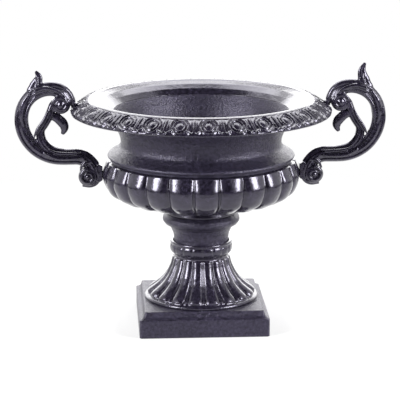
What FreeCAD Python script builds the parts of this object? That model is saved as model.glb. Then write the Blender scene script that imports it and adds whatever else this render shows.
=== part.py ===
import FreeCAD, Part
import math
import os
from types import SimpleNamespace

import Sketcher
from FreeCAD import Placement, Rotation, Vector

# Cast-iron urn planter: square plinth, fluted socle, stem, gadrooned bowl, neck, egg-and-dart
# rim and two scroll handles, drawn together by one long bolt and small screws.
# Millimetres, +Z up, origin at the middle of the plinth's underside. The handles lie along X.

SIZES = {
    # square plinth
    "plinth_side": 132.0,
    "slab_height": 18.8,
    "moulding_inset": 5.7,
    "moulding_height": 7.3,
    "moulding_step": 1.3,
    "plinth_wall": 6.0,
    "deck_thickness": 6.0,
    "corner_round": 2.5,
    # fluted socle
    "foot_radius": 58.6,
    "foot_ring_height": 3.2,
    "flute_waist_radius": 28.9,
    "flute_foot_radius": 57.0,
    "flute_height": 43.0,
    "flute_depth_share": 0.09,
    "collar_radius": 32.1,
    "collar_height": 14.2,
    "cup_depth": 5.2,
    "cup_clearance": 0.3,
    "stem_foot_flare": 0.4,
    "socle_wall": 6.0,
    "web_thickness": 7.0,
    # stem
    "stem_waist_radius": 28.0,
    "stem_top_radius": 32.3,
    "stem_height": 34.0,
    "disc_radius": 39.5,
    "disc_height": 12.5,
    "stem_bore_radius": 20.0,
    # lower bowl
    "belly_radius": 101.0,
    "belly_drop": 28.0,
    "belly_squareness": 4.0,
    "belly_above_seat": 42.0,
    "bowl_foot_radius": 36.0,
    "bowl_height": 56.0,
    "lobe_depth_share": 0.055,
    "bowl_wall": 5.0,
    "bowl_flange_radius": 78.0,
    "bowl_flange_thickness": 6.0,
    "bowl_floor_thickness": 14.5,
    "bowl_floor_radius": 50.0,
    "drain_radius": 4.0,
    "drain_circle_radius": 44.0,
    # neck
    "ledge_radius": 95.8,
    "ledge_foot_radius": 93.0,
    "waist_radius": 82.0,
    "waist_lift": 15.0,
    "neck_height": 51.0,
    "neck_wall": 5.0,
    "neck_flange_radius": 114.5,
    "neck_flange_thickness": 5.0,
    "flare_radius": 100.0,
    "throat_radius": 89.0,
    # rim
    "rim_radius": 132.9,
    "rim_height": 12.8,
    "rim_drop": 2.2,
    "lip_radius": 108.2,
    "ridge_radius": 112.5,
    "rim_seat_radius": 117.0,
    "rim_wall": 4.5,
    # scroll handles
    "arm_radius": 7.0,
    "foot_block_depth": 12.0,
    "foot_block_height": 24.0,
    "handle_clearance": 0.3,
    "tail_run": 6.0,
    "tail_bend": 7.5,
    "elbow_bend": 20.2,
    "arm_run": 15.5,
    "scroll_bend": 38.5,
    "arch_bend": 29.2,
    "curl_bend": 15.1,
    "stem_scroll_radius": 4.7,
    "volute_radius": 9.8,
    "volute_width": 13.0,
    "horn_height_left": 264.5,
    "horn_height_right": 270.0,
    # fasteners
    "tie_radius": 4.0,
    "tie_clearance": 0.5,
    "tie_head_flat": 13.0,
    "tie_head_height": 5.3,
    "tie_nut_height": 6.5,
    "tie_washer_side": 18.0,
    "tie_washer_thickness": 1.6,
    "tie_plate_side": 40.0,
    "tie_plate_thickness": 3.0,
    "tie_overhang": 3.0,
    "handle_bolt_radius": 3.0,
    "handle_bolt_height": 157.0,
    "handle_bolt_bite": 11.0,
    "handle_bolt_flat": 10.0,
    "handle_bolt_head": 4.0,
    "handle_washer_side": 12.0,
    "handle_washer_thickness": 1.6,
    "washer_relief": 0.25,
    "screw_radius": 2.5,
    "screw_clearance": 0.25,
    "screw_bite": 5.0,
    "screw_flat": 8.0,
    "screw_head_height": 3.0,
    "neck_screw_circle": 84.0,
    "rim_screw_circle": 109.0,
    "lug_side": 7.0,
    "lug_height": 5.5,
    "lug_rise": 5.5,
    "lug_screw_radius": 2.0,
    "lug_screw_circle": 128.5,
    "lug_screw_bite": 5.0,
    "lug_screw_flat": 5.5,
    "lug_screw_head_height": 2.0,
}
LOBE_COUNT = 24
FLUTE_COUNT = 18
SIDES_PER_LOBE = 4
BAR_SIDES = 10
TAPER_SIDES = 8
DEGREES_PER_FACET = 24
SCREW_COUNT = 3
FIRST_SCREW_TURN = 90
DRAIN_COUNT = 4
FIRST_DRAIN_TURN = 45

doc = FreeCAD.newDocument("urn_planter")
sheet = doc.addObject("Spreadsheet::Sheet", "sizes")
for row, (word, number) in enumerate(SIZES.items(), start=1):
    sheet.set(f"A{row}", word)
    sheet.set(f"B{row}", str(number))
    sheet.setAlias(f"B{row}", word)
doc.recompute()


class Size:
    """A number that also carries the sheet formula that gives it."""

    def __init__(self, number, formula):
        self.number = float(number)
        self.formula = formula

    @staticmethod
    def of(thing):
        if isinstance(thing, Size):
            return thing
        return Size(thing, f"({float(thing):.9f})")

    def _join(self, sign, other, number):
        return Size(number, f"({self.formula} {sign} {other.formula})")

    def __add__(self, other):
        other = Size.of(other)
        return self._join("+", other, self.number + other.number)

    def __sub__(self, other):
        other = Size.of(other)
        return self._join("-", other, self.number - other.number)

    def __mul__(self, other):
        other = Size.of(other)
        return self._join("*", other, self.number * other.number)

    def __truediv__(self, other):
        other = Size.of(other)
        return self._join("/", other, self.number / other.number)

    def __radd__(self, other):
        return Size.of(other) + self

    def __rsub__(self, other):
        return Size.of(other) - self

    def __rmul__(self, other):
        return Size.of(other) * self

    def __neg__(self):
        return Size.of(0) - self

    def __float__(self):
        return self.number


s = SimpleNamespace(**{word: Size(sheet.get(word), f"sizes.{word}") for word in SIZES})

# heights at which the castings meet, all measured from the ground
s.deck_top = s.slab_height + s.moulding_height
s.deck_under = s.deck_top - s.deck_thickness
s.flute_foot = s.deck_top + s.foot_ring_height
s.collar_foot = s.flute_foot + s.flute_height
s.collar_top = s.collar_foot + s.collar_height
s.stem_foot = s.collar_top - s.cup_depth
s.bowl_seat = s.stem_foot + s.stem_height
s.belly = s.bowl_seat + s.belly_above_seat
s.neck_seat = s.bowl_seat + s.bowl_height
s.rim_seat = s.neck_seat + s.neck_height
s.rim_edge = s.rim_seat - s.rim_drop
s.lip_top = s.rim_seat + s.rim_height
s.bowl_floor = s.bowl_seat + s.bowl_floor_thickness
s.washer_top = s.bowl_floor + s.tie_washer_thickness
s.plate_under = s.deck_under - s.tie_plate_thickness
s.nut_under = s.plate_under - s.tie_nut_height
s.inner_belly = s.belly_radius * (1 - s.lobe_depth_share) - s.bowl_wall
s.washer_seat = s.inner_belly - s.washer_relief
s.lug_seat = s.rim_edge + s.lug_rise


# ---------------------------------------------------------------- drawing helpers
def new_body(name):
    body = doc.addObject("PartDesign::Body", name)
    body.Label = name
    return body


def new_sketch(body, name, role="XZ_Plane"):
    """An empty sketch on one of the body's own origin planes."""
    sketch = body.newObject("Sketcher::SketchObject", name)
    plane = [feature for feature in body.Origin.OriginFeatures if feature.Role == role][0]
    sketch.AttachmentSupport = [(plane, "")]
    sketch.MapMode = "FlatFace"
    return sketch


def pin(sketch, edge, end, across, up):
    """Holds one end of an edge at a place given by sheet formulas."""
    for kind, size in (("DistanceX", Size.of(across)), ("DistanceY", Size.of(up))):
        index = sketch.addConstraint(Sketcher.Constraint(kind, -1, 1, edge, end, size.number))
        sketch.setExpression(f"Constraints[{index}]", size.formula)


def outline(sketch, spots):
    """A closed outline. A spot is (across, up), or (across, up, bend) where the edge that
    leaves it is an arc: bend is the arc's rise over its chord, to the left of the way."""
    edges = []
    for index, spot in enumerate(spots):
        following = spots[(index + 1) % len(spots)]
        x0, y0 = Size.of(spot[0]), Size.of(spot[1])
        x1, y1 = Size.of(following[0]), Size.of(following[1])
        start, stop = Vector(x0.number, y0.number, 0), Vector(x1.number, y1.number, 0)
        if len(spot) == 2:
            edge = sketch.addGeometry(Part.LineSegment(start, stop))
            edges.append((edge, 1, 2))
            continue
        bend = spot[2]
        middle_x = (x0 + x1) / 2 - (y1 - y0) * bend
        middle_y = (y0 + y1) / 2 + (x1 - x0) * bend
        middle = Vector(middle_x.number, middle_y.number, 0)
        if bend > 0:
            edge = sketch.addGeometry(Part.Arc(stop, middle, start))
            edges.append((edge, 2, 1))
        else:
            edge = sketch.addGeometry(Part.Arc(start, middle, stop))
            edges.append((edge, 1, 2))
        mark = sketch.addGeometry(Part.Point(middle), True)
        pin(sketch, mark, 1, middle_x, middle_y)
        sketch.addConstraint(Sketcher.Constraint("PointOnObject", mark, 1, edge))
    for index, (edge, first, last) in enumerate(edges):
        pin(sketch, edge, first, spots[index][0], spots[index][1])
        next_edge, next_first, _ = edges[(index + 1) % len(edges)]
        sketch.addConstraint(Sketcher.Constraint("Coincident", edge, last, next_edge, next_first))


def curve(start, stop, bend, facets):
    """The spots of a shallow curve drawn as straight facets, without the last one. Bend is
    the curve's rise over its chord, to the left of the way."""
    (x0, y0), (x1, y1) = [(Size.of(x), Size.of(y)) for x, y in (start, stop)]
    spots = []
    for step in range(facets):
        share = step / facets
        rise = 4 * bend * share * (1 - share)
        spots.append((
            x0 + (x1 - x0) * share - (y1 - y0) * rise,
            y0 + (y1 - y0) * share + (x1 - x0) * rise,
        ))
    return spots


def ring(sketch, across, up, radius):
    """A circle whose centre and radius follow the sheet."""
    across, up, radius = Size.of(across), Size.of(up), Size.of(radius)
    centre = Vector(across.number, up.number, 0)
    edge = sketch.addGeometry(Part.Circle(centre, Vector(0, 0, 1), radius.number))
    pin(sketch, edge, 3, across, up)
    index = sketch.addConstraint(Sketcher.Constraint("Radius", edge, radius.number))
    sketch.setExpression(f"Constraints[{index}]", radius.formula)


def lift(sketch, height):
    """Raises a level sketch to a height given by a sheet formula."""
    sketch.setExpression(".AttachmentOffset.Base.z", Size.of(height).formula)


def turned(body, name, *outlines):
    """A round solid: the outlines of half its section, turned about the body's own axis."""
    sketch = new_sketch(body, f"{name}_section")
    for spots in outlines:
        outline(sketch, spots)
    feature = body.newObject("PartDesign::Revolution", name)
    feature.Profile = sketch
    feature.ReferenceAxis = (sketch, ["V_Axis"])
    feature.Angle = 360
    feature.Refine = False
    return feature


def bored(body, name, spots):
    """A round hollow, turned away about the body's own axis."""
    sketch = new_sketch(body, f"{name}_section")
    outline(sketch, spots)
    feature = body.newObject("PartDesign::Groove", name)
    feature.Profile = sketch
    feature.ReferenceAxis = (sketch, ["V_Axis"])
    feature.Angle = 360
    feature.Refine = False
    return feature


def raised(body, name, sketch, height, both_ways=False):
    """A straight solid of the sketch's outline."""
    feature = body.newObject("PartDesign::Pad", name)
    feature.Profile = sketch
    feature.Midplane = both_ways
    feature.Refine = False
    feature.setExpression("Length", Size.of(height).formula)
    return feature


def drilled(body, name, sketch, depth, backwards=False):
    """A straight hole of the sketch's outline."""
    feature = body.newObject("PartDesign::Pocket", name)
    feature.Profile = sketch
    feature.Reversed = backwards
    feature.Refine = False
    feature.setExpression("Length", Size.of(depth).formula)
    return feature


def places_round(circle, count, first_turn):
    """Places evenly round the origin, the first one at a turn in degrees."""
    turns = [math.radians(first_turn + 360 * index / count) for index in range(count)]
    return [(circle * math.cos(turn), circle * math.sin(turn)) for turn in turns]


def ring_of_holes(sketch, circle, radius, count, first_turn):
    for across, up in places_round(circle, count, first_turn):
        ring(sketch, across, up, radius)


def square(sketch, side, across=0, up=0):
    """A square round a centre."""
    across, up, half = Size.of(across), Size.of(up), Size.of(side) / 2
    corners = ((-1, -1), (1, -1), (1, 1), (-1, 1))
    outline(sketch, [(across + half * x, up + half * y) for x, y in corners])


def hexagon(sketch, flat, across=0, up=0):
    """A hexagon round a centre, flat to flat, with a corner on each side along X."""
    across, up, corner = Size.of(across), Size.of(up), Size.of(flat) / math.sqrt(3)
    turns = [math.radians(60 * step) for step in range(6)]
    outline(sketch, [
        (across + corner * math.cos(turn), up + corner * math.sin(turn)) for turn in turns])


# ---------------------------------------------------------------- scalloped castings
def scalloped(body, name, sections, count, depth_share):
    """A solid with convex lobes side by side round it, lofted through level sections given as
    (crest radius, height). Each lobe is a row of flats, and every section is the same star
    at another scale, so the flats stay plane from one section to the next."""
    sketches = []
    for number, (radius, height) in enumerate(sections):
        sketch = new_sketch(body, f"{name}_{number}", "XY_Plane")
        corners = []
        for step in range(count * SIDES_PER_LOBE):
            across_lobe = (step % SIDES_PER_LOBE) / SIDES_PER_LOBE * 2 - 1
            reach = float(radius) * (1 - float(depth_share) * across_lobe ** 2)
            turn = 2 * math.pi / count * (step / SIDES_PER_LOBE - 0.5)
            corners.append(Vector(reach * math.cos(turn), reach * math.sin(turn), 0))
        pairs = zip(corners, corners[1:] + corners[:1])
        sketch.addGeometry([Part.LineSegment(first, last) for first, last in pairs])
        lift(sketch, height)
        sketches.append(sketch)
    feature = body.newObject("PartDesign::AdditiveLoft", name)
    feature.Profile = sketches[0]
    feature.Sections = sketches[1:]
    feature.Ruled = True
    feature.Refine = False
    return feature


# ---------------------------------------------------------------- castings
def make_plinth():
    """A hollow square slab with a cove round its top, and a deck that carries the socle."""
    body = new_body("plinth")
    base = new_sketch(body, "slab_outline", "XY_Plane")
    square(base, s.plinth_side)
    slab = raised(body, "slab", base, s.deck_top)
    doc.recompute()
    uprights = []
    for number, edge in enumerate(body.Shape.Edges, start=1):
        if edge.BoundBox.ZLength > s.slab_height.number:
            uprights.append(f"Edge{number}")
    corners = body.newObject("PartDesign::Fillet", "corners")
    corners.Base = (slab, uprights)
    corners.setExpression("Radius", s.corner_round.formula)
    half = s.plinth_side / 2
    beyond = half + 5
    for role in ("XZ_Plane", "YZ_Plane"):
        for side in (1, -1):
            cove = new_sketch(body, f"cove_{role[:2]}_{side + 1}", role)
            spots = [
                (side * (half - s.moulding_inset), s.deck_top),
                (side * (half - s.moulding_inset), s.deck_top - s.moulding_step, -0.16 * side),
                (side * (half - s.moulding_step), s.slab_height),
                (side * beyond, s.slab_height),
                (side * beyond, s.deck_top),
            ]
            outline(cove, spots)
            cut = body.newObject("PartDesign::Pocket", f"cove_cut_{role[:2]}_{side + 1}")
            cut.Profile = cove
            cut.Midplane = True
            cut.setExpression("Length", (s.plinth_side + 10).formula)
    cavity = new_sketch(body, "cavity_outline", "XY_Plane")
    square(cavity, s.plinth_side - 2 * s.plinth_wall - 2 * s.moulding_inset)
    drilled(body, "cavity", cavity, s.deck_under, backwards=True)
    hole = new_sketch(body, "tie_hole_outline", "XY_Plane")
    ring(hole, 0, 0, s.tie_radius + s.tie_clearance)
    drilled(body, "tie_hole", hole, s.deck_top + 5, backwards=True)
    return body


def make_socle():
    """The trumpet-shaped foot: reeds that flare onto a ring, and a cup that holds the stem."""
    body = new_body("socle")
    spread = s.flute_foot_radius - s.flute_waist_radius
    sections = []
    for share in (0.0, 0.09, 0.24, 0.48, 1.0):
        sections.append((
            s.flute_waist_radius + spread * (1 - share) ** 2,
            s.flute_foot + s.flute_height * share,
        ))
    scalloped(body, "reeds", sections, FLUTE_COUNT, s.flute_depth_share)
    root = 1 - s.flute_depth_share
    foot_ring = [
        (0, s.deck_top),
        (s.foot_radius, s.deck_top),
        (s.foot_radius, s.flute_foot - 0.6),
        (s.foot_radius - 2.0, s.flute_foot + 0.3),
        (0, s.flute_foot + 0.3),
    ]
    collar = [
        (0, s.collar_foot - 1.0),
        (s.flute_waist_radius - 0.5, s.collar_foot - 1.0),
        (s.collar_radius, s.collar_foot + 3.4),
        (s.collar_radius, s.collar_top),
        (0, s.collar_top),
    ]
    turned(body, "foot_ring_and_collar", foot_ring, collar)
    cup = s.stem_waist_radius + s.stem_foot_flare + s.cup_clearance
    web_under = s.stem_foot - s.web_thickness
    hollow_foot = s.flute_foot_radius * root - s.socle_wall
    hollow_top = s.flute_waist_radius * root - s.socle_wall
    hole = s.tie_radius + s.tie_clearance
    bored(body, "cavity_and_cup", [
        (0, s.deck_top - 1),
        (hollow_foot, s.deck_top - 1),
        (hollow_top + spread * 0.28, s.flute_foot + s.flute_height * 0.27),
        (hollow_top, s.flute_foot + s.flute_height * 0.8),
        (hollow_top, web_under),
        (hole, web_under),
        (hole, s.stem_foot),
        (cup, s.stem_foot),
        (cup, s.collar_top + 5),
        (0, s.collar_top + 5),
    ])
    return body


def make_stem():
    """The plain waisted stem with a round disc on top, where the bowl sits."""
    body = new_body("stem")
    disc_foot = s.bowl_seat - s.disc_height
    turned(body, "spool", [
        (0, s.stem_foot),
        (s.stem_waist_radius + s.stem_foot_flare, s.stem_foot),
        *curve(
            (s.stem_waist_radius, s.collar_top + 1.5), (s.stem_top_radius, disc_foot), 0.06, 2),
        (s.stem_top_radius, disc_foot),
        (s.disc_radius - 2.2, disc_foot + 1.8),
        (s.disc_radius, disc_foot + 5.2),
        (s.disc_radius, disc_foot + 8.5),
        (s.disc_radius - 3.2, s.bowl_seat),
        (0, s.bowl_seat),
    ])
    bored(body, "bore", [
        (0, s.stem_foot - 5),
        (s.stem_bore_radius, s.stem_foot - 5),
        (s.stem_bore_radius, s.bowl_seat - s.web_thickness),
        (0, s.bowl_seat - s.web_thickness),
    ])
    hole = new_sketch(body, "tie_hole_outline", "XY_Plane")
    ring(hole, 0, 0, s.tie_radius + s.tie_clearance)
    drilled(body, "tie_hole", hole, s.bowl_seat + 5, backwards=True)
    return body


def belly_crest(height):
    """The bowl's outer radius over the lobes' crests at a height: a flattened round below
    the widest place, and a shorter, steeper one above it."""
    below = float(s.belly) - height
    if below >= 0:
        share = below / float(s.belly_drop)
        power = float(s.belly_squareness)
        return float(s.belly_radius) * (1 - share ** power) ** (1 / power)
    return float(s.belly_radius) * (1 - 0.055 * (below / float(s.neck_seat - s.belly)) ** 2)


def make_lower_bowl():
    """The gadrooned lower bowl: convex lobes outside, a plain round inside with a thick floor
    under the long bolt's head, and a flange on top that the neck is screwed to."""
    body = new_body("lower_bowl")
    sections = [(s.bowl_foot_radius, s.bowl_seat), (s.bowl_foot_radius, s.bowl_seat + 5.5)]
    for share in (0.84, 0.68, 0.42, 0.0):
        height = s.belly - s.belly_drop * share
        sections.append((belly_crest(height.number), height))
    sections.append((belly_crest(s.neck_seat.number), s.neck_seat))
    scalloped(body, "lobes", sections, LOBE_COUNT, s.lobe_depth_share)
    flange_under = s.neck_seat - s.bowl_flange_thickness
    bored(body, "inside", [
        (0, s.bowl_floor),
        (s.bowl_floor_radius, s.bowl_floor),
        (s.inner_belly * 0.9, s.belly - s.belly_drop * 0.62),
        (s.inner_belly, s.belly - s.belly_drop * 0.35),
        (s.inner_belly, flange_under),
        (s.bowl_flange_radius, flange_under),
        (s.bowl_flange_radius, s.neck_seat + 5),
        (0, s.neck_seat + 5),
    ])
    bolt_hole = new_sketch(body, "handle_hole_outline", "YZ_Plane")
    ring(bolt_hole, 0, s.handle_bolt_height, s.handle_bolt_radius + s.screw_clearance)
    across = drilled(body, "handle_holes", bolt_hole, 2 * s.belly_radius + 10)
    across.Midplane = True
    flange_holes = new_sketch(body, "neck_screw_hole_outlines", "XY_Plane")
    ring_of_holes(
        flange_holes, s.neck_screw_circle, s.screw_radius + s.screw_clearance,
        SCREW_COUNT, FIRST_SCREW_TURN)
    lift(flange_holes, flange_under - 1)
    drilled(body, "neck_screw_holes", flange_holes, s.bowl_flange_thickness + 3, backwards=True)
    floor_holes = new_sketch(body, "floor_hole_outlines", "XY_Plane")
    ring(floor_holes, 0, 0, s.tie_radius + s.tie_clearance)
    ring_of_holes(
        floor_holes, s.drain_circle_radius, s.drain_radius, DRAIN_COUNT, FIRST_DRAIN_TURN)
    lift(floor_holes, s.bowl_seat - 1)
    drilled(body, "floor_holes", floor_holes, s.belly_drop, backwards=True)
    return body


def make_neck():
    """The plain cavetto neck: a ledge over the lobes, a narrow waist and a flared throat."""
    body = new_body("neck")
    waist = s.neck_seat + s.waist_lift
    flange_under = s.rim_seat - s.neck_flange_thickness
    turned(body, "wall", [
        (s.bowl_flange_radius, s.neck_seat),
        (s.ledge_foot_radius, s.neck_seat),
        (s.ledge_foot_radius, s.neck_seat + 2.8),
        (s.ledge_radius, s.neck_seat + 3.8),
        *curve((s.ledge_radius, s.neck_seat + 5.5), (s.waist_radius, waist), 0.14, 2),
        (s.waist_radius, waist),
        *curve((s.waist_radius + 0.9, waist + 9), (s.flare_radius, flange_under), 0.1, 3),
        (s.flare_radius, flange_under),
        (s.neck_flange_radius, flange_under),
        (s.neck_flange_radius, s.rim_seat),
        *curve(
            (s.throat_radius, s.rim_seat), (s.waist_radius - s.neck_wall, waist), -0.085, 3),
        (s.waist_radius - s.neck_wall, waist),
    ])
    tapped = new_sketch(body, "tapped_hole_outlines", "XY_Plane")
    ring_of_holes(
        tapped, s.neck_screw_circle, s.screw_radius, SCREW_COUNT, FIRST_SCREW_TURN)
    lift(tapped, s.neck_seat - 1)
    drilled(body, "tapped_holes", tapped, s.screw_bite + 1.5, backwards=True)
    screw_holes = new_sketch(body, "rim_screw_hole_outlines", "XY_Plane")
    ring_of_holes(
        screw_holes, s.rim_screw_circle, s.screw_radius + s.screw_clearance,
        SCREW_COUNT, FIRST_SCREW_TURN)
    lift(screw_holes, flange_under - 1)
    drilled(body, "rim_screw_holes", screw_holes, s.neck_flange_thickness + 3, backwards=True)
    return body


def make_rim():
    """The drooping rim: a lip round the mouth and a convex band that falls to a thin edge."""
    body = new_body("rim")
    turned(body, "band", [
        (s.throat_radius, s.rim_seat),
        (s.rim_seat_radius, s.rim_seat),
        (s.rim_seat_radius, s.rim_seat + 2),
        (s.rim_radius - s.rim_wall, s.rim_edge),
        (s.rim_radius, s.rim_edge),
        *curve(
            (s.rim_radius, s.rim_edge + 2.2), (s.ridge_radius + 1.4, s.lip_top - 2.2), 0.1, 2),
        (s.ridge_radius + 1.4, s.lip_top - 2.2),
        (s.ridge_radius - 1, s.lip_top),
        *curve((s.lip_radius, s.lip_top - 0.6), (s.throat_radius, s.rim_seat), -0.057, 2),
    ])
    tapped = new_sketch(body, "tapped_hole_outlines", "XY_Plane")
    ring_of_holes(tapped, s.rim_screw_circle, s.screw_radius, SCREW_COUNT, FIRST_SCREW_TURN)
    lift(tapped, s.rim_seat - 1)
    drilled(body, "tapped_holes", tapped, s.screw_bite + 1.5, backwards=True)
    below, above = s.rim_edge - 5, s.lip_top + 5
    lug_holes = new_sketch(body, "lug_hole_outlines", "XY_Plane")
    lug_seats = new_sketch(body, "lug_seat_outlines", "XY_Plane")
    for side in (1, -1):
        place = side * s.lug_screw_circle
        ring(lug_holes, place, 0, s.lug_screw_radius + s.screw_clearance)
        square(lug_seats, s.lug_side + 2 * s.handle_clearance, place)
    lift(lug_holes, below)
    drilled(body, "lug_holes", lug_holes, above - below, backwards=True)
    lift(lug_seats, s.lug_seat)
    drilled(body, "lug_seats", lug_seats, above - s.lug_seat, backwards=True)
    return body


# ---------------------------------------------------------------- scroll handles
def scroll_stations(across, up, heading, steps, radius):
    """Stations (across, up, heading, radius) along a smooth path of tangent arcs, walked from
    a start and a heading in degrees. A step is (length, 0) for a straight run, or (bend
    radius, turn), a positive turn bearing left. A third value is the bar's radius at the
    step's end. Every arc gets a station at least each DEGREES_PER_FACET."""
    x, y, way = float(across), float(up), float(heading)
    thickness = float(radius)
    stations = [(x, y, way, thickness)]
    for size, turn, *ends in steps:
        facets = max(1, math.ceil(abs(turn) / DEGREES_PER_FACET))
        change = (float(ends[0]) - thickness) / facets if ends else 0.0
        for _ in range(facets):
            run = float(size)
            if turn:
                run = 2 * run * math.sin(math.radians(abs(turn) / facets / 2))
            chord_way = math.radians(way + turn / facets / 2)
            x, y = x + run * math.cos(chord_way), y + run * math.sin(chord_way)
            way += turn / facets
            thickness += change
            stations.append((x, y, way, thickness))
    return stations


def cross_section(body, name, across, up, heading, radius, sides):
    """A polygon square to the handle's plane, facing along a heading in that plane."""
    sketch = new_sketch(body, name, "YZ_Plane")
    corners = []
    for side in range(sides):
        turn = 2 * math.pi * side / sides
        corners.append(Vector(radius * math.sin(turn), radius * math.cos(turn), 0))
    pairs = zip(corners, corners[1:] + corners[:1])
    sketch.addGeometry([Part.LineSegment(first, last) for first, last in pairs])
    place = Vector(0, float(up), float(across))
    sketch.AttachmentOffset = Placement(place, Rotation(Vector(1, 0, 0), -heading))
    return sketch


def bar(body, name, stations, sides):
    """A bar of many flats through (across, up, heading, radius) stations."""
    sections = []
    for number, station in enumerate(stations):
        sections.append(cross_section(body, f"{name}_{number}", *station, sides))
    feature = body.newObject("PartDesign::AdditiveLoft", name)
    feature.Profile = sections[0]
    feature.Sections = sections[1:]
    feature.Ruled = True
    feature.Refine = False


def volute(body, name, across, up, radius):
    """A flat round boss across the handle, the middle of a scroll."""
    disc = new_sketch(body, f"{name}_outline")
    ring(disc, across, up, radius)
    raised(body, name, disc, s.volute_width, both_ways=True)


def make_handle(name, horn_height, turn):
    """One scroll handle: a foot that curls round a volute and is bolted to the belly, an arm
    that sweeps out and up into a C-scroll and curls over on the rim, an inner stem with a
    beak, and a horn on top."""
    body = new_body(name)
    seat = s.belly_radius + s.handle_clearance
    block = new_sketch(body, "foot_block_outline")
    block_foot = s.handle_bolt_height - s.foot_block_height / 2
    outline(block, [
        (seat, block_foot + 4),
        (seat + 5, block_foot + 0.5),
        (seat + 9, block_foot + 0.5),
        (seat + 9, block_foot + s.foot_block_height - 4),
        (seat + 4.5, block_foot + s.foot_block_height + 2.5),
        (seat - 0.8, block_foot + s.foot_block_height + 0.6),
        (seat, block_foot + s.foot_block_height - 4),
    ])
    raised(body, "foot_block", block, s.foot_block_depth, both_ways=True)
    arm_line = seat + s.arm_radius
    tail_level = s.handle_bolt_height - 2.3 - s.tail_bend
    arm_steps = [
        (s.tail_run, 0, 4.4),
        (s.tail_bend, -90, s.arm_radius),
        (s.elbow_bend, -90),
        (s.arm_run, 0),
        (s.scroll_bend, 107),
        (s.arch_bend, 92),
        (s.curl_bend, 70, 5.6),
    ]
    tail = (arm_line + s.tail_bend + s.tail_run, tail_level)
    bar(body, "arm", scroll_stations(*tail, 180, arm_steps, 3.6), BAR_SIDES)
    stem_steps = [(20.0, 0), (20.5, 81), (9.0, 36), (67.0, -20), (13.0, 46, 3.6)]
    arm_level = tail_level + s.tail_bend + s.elbow_bend
    stem_start = (arm_line + 19, arm_level + 1.1)
    bar(
        body, "inner_stem",
        scroll_stations(*stem_start, 10, stem_steps, s.stem_scroll_radius), TAPER_SIDES)
    volute(
        body, "lower_volute", arm_line + s.tail_bend, tail_level + s.tail_bend,
        s.volute_radius)
    volute(body, "upper_volute", seat + 41.0, s.handle_bolt_height + 72.7, s.volute_radius)
    beak = [
        (153.5, 219.0, 215, 4.0),
        (144.6, 214.2, 204, 4.8),
        (139.6, 208.5, 255, 4.5),
        (139.8, 203.0, 280, 3.6),
        (141.6, 198.5, 295, 1.4),
    ]
    bar(body, "beak", beak, TAPER_SIDES)
    tip = float(horn_height)
    horn = [
        (171.5, 239.5, 128, 5.4),
        (167.3, 247.5, 112, 5.7),
        (164.4, 255.5, 98, 4.5),
        (164.2, (256.5 + tip) / 2, 82, 3.1),
        (165.6, tip, 68, 1.2),
    ]
    bar(body, "horn", horn, TAPER_SIDES)
    lug = new_sketch(body, "rim_lug_outline", "XY_Plane")
    square(lug, s.lug_side, s.lug_screw_circle)
    lift(lug, s.lug_seat)
    raised(body, "rim_lug", lug, s.lug_height)
    bolt_hole = new_sketch(body, "bolt_hole_outline", "YZ_Plane")
    ring(bolt_hole, 0, s.handle_bolt_height, s.handle_bolt_radius)
    bolt_hole.setExpression(".AttachmentOffset.Base.z", (seat - 3).formula)
    drilled(body, "bolt_hole", bolt_hole, s.handle_bolt_bite + 4, backwards=True)
    lug_hole = new_sketch(body, "lug_hole_outline", "XY_Plane")
    ring(lug_hole, s.lug_screw_circle, 0, s.lug_screw_radius)
    lift(lug_hole, s.lug_seat - 2)
    drilled(body, "lug_hole", lug_hole, s.lug_screw_bite + 3, backwards=True)
    body.Placement = Placement(Vector(), Rotation(Vector(0, 0, 1), turn))
    return body


# ---------------------------------------------------------------- fasteners
def make_tie_bolt():
    """The long bolt down the middle, its head inside the bowl."""
    body = new_body("tie_bolt")
    turned(body, "shank", [
        (0, s.nut_under - s.tie_overhang),
        (s.tie_radius - 0.8, s.nut_under - s.tie_overhang),
        (s.tie_radius, s.nut_under - s.tie_overhang + 0.8),
        (s.tie_radius, s.washer_top),
        (0, s.washer_top),
    ])
    head = new_sketch(body, "head_outline", "XY_Plane")
    hexagon(head, s.tie_head_flat)
    lift(head, s.washer_top)
    raised(body, "head", head, s.tie_head_height)
    return body


def make_tie_plate(name, side, under, thickness):
    """A level square plate with the long bolt's hole in its middle."""
    body = new_body(name)
    plate = new_sketch(body, "plate_outline", "XY_Plane")
    square(plate, side)
    ring(plate, 0, 0, s.tie_radius + s.tie_clearance)
    lift(plate, under)
    raised(body, "plate", plate, thickness)
    return body


def make_tie_nut():
    """The nut under the plate."""
    body = new_body("tie_nut")
    nut = new_sketch(body, "nut_outline", "XY_Plane")
    hexagon(nut, s.tie_head_flat)
    lift(nut, s.nut_under)
    raised(body, "nut", nut, s.tie_nut_height)
    thread = new_sketch(body, "thread_outline", "XY_Plane")
    ring(thread, 0, 0, s.tie_radius)
    drilled(body, "thread", thread, s.deck_top, backwards=True)
    return body


def make_handle_bolt(name, turn):
    """A short hexagon bolt from inside the bowl into a handle's foot block."""
    body = new_body(name)
    head_face = s.washer_seat - s.handle_washer_thickness
    head = new_sketch(body, "head_outline", "YZ_Plane")
    hexagon(head, s.handle_bolt_flat, 0, s.handle_bolt_height)
    head.setExpression(".AttachmentOffset.Base.z", (head_face - s.handle_bolt_head).formula)
    raised(body, "head", head, s.handle_bolt_head)
    shank = new_sketch(body, "shank_outline", "YZ_Plane")
    ring(shank, 0, s.handle_bolt_height, s.handle_bolt_radius)
    shank.setExpression(".AttachmentOffset.Base.z", head_face.formula)
    reach = s.belly_radius + s.handle_clearance + s.handle_bolt_bite - head_face
    raised(body, "shank", shank, reach)
    body.Placement = Placement(Vector(), Rotation(Vector(0, 0, 1), turn))
    return body


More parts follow.
